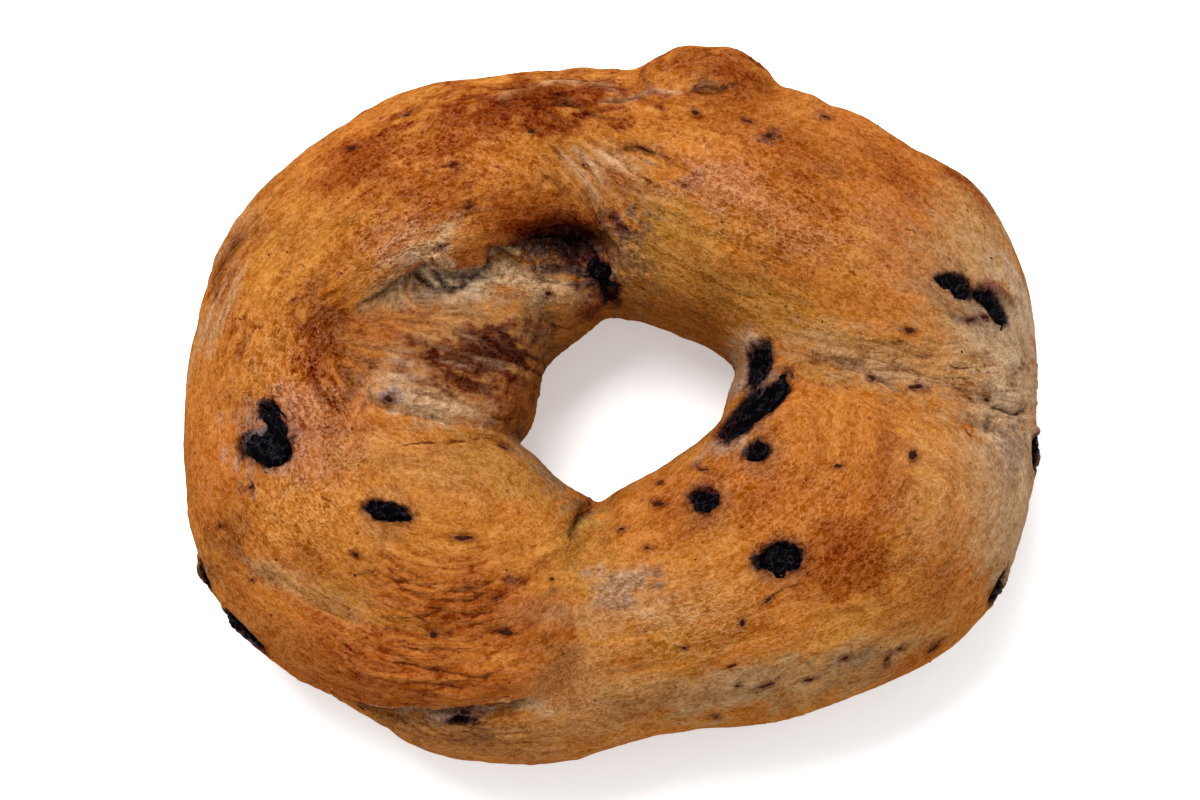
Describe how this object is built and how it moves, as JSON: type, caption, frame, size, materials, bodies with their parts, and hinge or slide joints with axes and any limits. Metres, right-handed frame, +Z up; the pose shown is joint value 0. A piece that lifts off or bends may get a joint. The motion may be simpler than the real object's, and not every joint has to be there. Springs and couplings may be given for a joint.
{
  "type": "berry bagel",
  "caption": "Hand-twisted bagel ring with folded rolls of dough, an uneven hole, a knob at the back and whole berries baked into the crust.",
  "frame": {"origin": "middle of the bagel's bounding box at the flat base", "axes": "+Z up out of the crust, +X to the bagel's right along its longest way, +Y to the back, where the knob is"},
  "size_m": [0.1202, 0.101, 0.0374],
  "materials": {
    "crust": "baked golden-brown skin with a slight gloss",
    "berry": "near-black wrinkled dried berry skin with a soft gloss"
  },
  "bodies": {
    "root": {"dough": "crust", "berry_1": "berry", "berry_2": "berry", "berry_3": "berry", "berry_4": "berry", "berry_5": "berry", "berry_6": "berry", "berry_7": "berry", "berry_8": "berry", "berry_9": "berry", "berry_10": "berry", "berry_11": "berry", "berry_12": "berry", "berry_13": "berry", "berry_14": "berry", "berry_15": "berry"}
  },
  "joints": []
}
